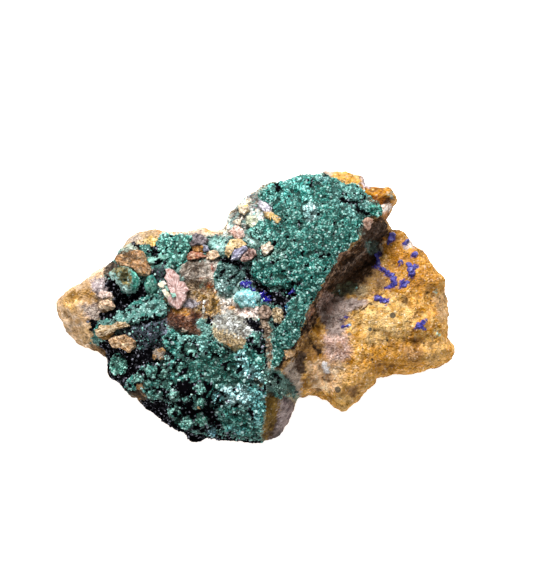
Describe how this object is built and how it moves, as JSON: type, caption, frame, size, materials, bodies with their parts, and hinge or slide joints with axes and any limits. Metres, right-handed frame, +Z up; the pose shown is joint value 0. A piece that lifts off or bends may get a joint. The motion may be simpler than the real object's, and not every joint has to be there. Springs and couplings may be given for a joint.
{
  "type": "azurite and malachite specimen",
  "caption": "Rough mineral hand specimen: limonite host rock on two levels, with dark green malachite crusts on the high side and small azurite crystals on the ochre ledge",
  "frame": {"origin": "middle of the bounding box in plan, on the plane that the broken foot rests on", "axes": "+X along the specimen to its low ochre ledge, +Y to the side that is far from the viewer in the picture, +Z up from the resting plane"},
  "size_m": [0.0908, 0.0598, 0.0276],
  "materials": {
    "limonite_rock": "rough, broken, ochre to brown",
    "malachite": "velvety druse of fine crystals",
    "pale_malachite": "matte, powdery",
    "pink_feldspar": "matte cleavage faces",
    "azurite": "vitreous to matte crystal faces"
  },
  "bodies": {
    "root": {"host_rock": "limonite_rock", "malachite_plate": "malachite", "malachite_apron": "malachite", "malachite_band": "malachite", "malachite_back_crust": "malachite", "malachite_middle_crust": "malachite", "malachite_foot": "malachite", "malachite_knob": "malachite", "malachite_rim_bead": "malachite", "malachite_curl": "malachite", "malachite_bead": "malachite", "malachite_hook": "malachite", "malachite_back_chip": "malachite", "pale_malachite_patch": "pale_malachite", "pink_feldspar_chip": "pink_feldspar", "azurite_ledge_1": "azurite", "azurite_ledge_2": "azurite", "azurite_ledge_3": "azurite", "azurite_ledge_4": "azurite", "azurite_ledge_5": "azurite", "azurite_ledge_6": "azurite", "azurite_ledge_7": "azurite", "azurite_ledge_8": "azurite", "azurite_ledge_9": "azurite", "azurite_ledge_10": "azurite", "azurite_ledge_11": "azurite", "azurite_ledge_12": "azurite", "azurite_vug_1": "azurite", "azurite_vug_2": "azurite", "azurite_vug_3": "azurite"}
  },
  "joints": []
}
